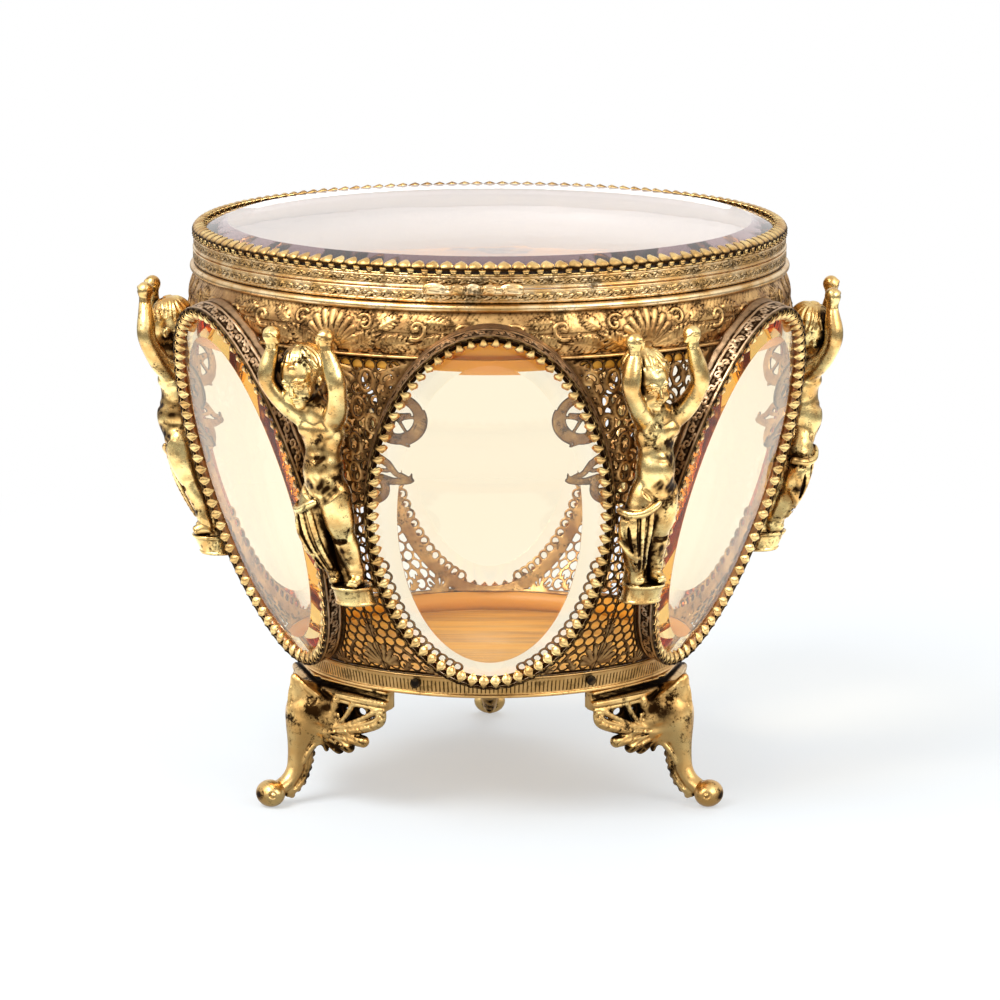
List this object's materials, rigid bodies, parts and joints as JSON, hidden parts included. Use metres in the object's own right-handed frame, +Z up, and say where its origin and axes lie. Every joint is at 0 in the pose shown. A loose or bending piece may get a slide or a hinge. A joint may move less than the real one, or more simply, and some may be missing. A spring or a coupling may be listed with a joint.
{
  "type": "keepsake casket",
  "caption": "Round gilt brass keepsake casket with oval bevelled windows, cast cherub supports, leaf feet and a hinged bevelled glass lid.",
  "frame": {"origin": "on the casket's axis at the level the feet stand on", "axes": "+Z up; the front with the thumb-piece faces -Y, the hinge is at +Y"},
  "size_m": [0.1816, 0.1688, 0.147],
  "materials": {
    "gilt_brass": "worn gilding over cast and rolled brass",
    "antique_brass": "embossed and pierced brass with dark toning in the recesses",
    "dark_stud": "blackened",
    "window_glass": "bevelled amber glass",
    "lid_glass": "bevelled clear glass with a faint pink tint"
  },
  "bodies": {
    "casket": {"base_band": "gilt_brass", "floor_plate": "gilt_brass", "base_studs": "dark_stud", "frieze_band": "antique_brass", "body_rim": "gilt_brass", "wall_panel_1": "antique_brass", "wall_panel_2": "antique_brass", "wall_panel_3": "antique_brass", "wall_panel_4": "antique_brass", "wall_panel_5": "antique_brass", "wall_panel_6": "antique_brass", "window_frame_1": "antique_brass", "window_frame_2": "antique_brass", "window_frame_3": "antique_brass", "window_frame_4": "antique_brass", "window_frame_5": "antique_brass", "window_frame_6": "antique_brass", "window_prongs_1": "gilt_brass", "window_prongs_2": "gilt_brass", "window_prongs_3": "gilt_brass", "window_prongs_4": "gilt_brass", "window_prongs_5": "gilt_brass", "window_prongs_6": "gilt_brass", "window_glass_1": "window_glass", "window_glass_2": "window_glass", "window_glass_3": "window_glass", "window_glass_4": "window_glass", "window_glass_5": "window_glass", "window_glass_6": "window_glass", "cherub_1": "gilt_brass", "cherub_2": "gilt_brass", "cherub_3": "gilt_brass", "cherub_4": "gilt_brass", "cherub_5": "gilt_brass", "cherub_6": "gilt_brass", "foot_1": "gilt_brass", "foot_2": "gilt_brass", "foot_3": "gilt_brass", "body_hinge_leaf": "gilt_brass", "hinge_pin": "gilt_brass"},
    "lid": {"lid_band": "gilt_brass", "lid_seat_ring": "gilt_brass", "lid_glass": "lid_glass", "lid_prongs": "gilt_brass", "lid_thumb_piece": "gilt_brass", "lid_hinge_leaf": "gilt_brass"}
  },
  "joints": [
    {"name": "lid_hinge", "type": "hinge", "parent": "casket", "child": "lid", "pos_m": [0, 0.0783, 0.1403], "axis": [-1, 0, 0], "range_deg": [0, 105]}
  ]
}
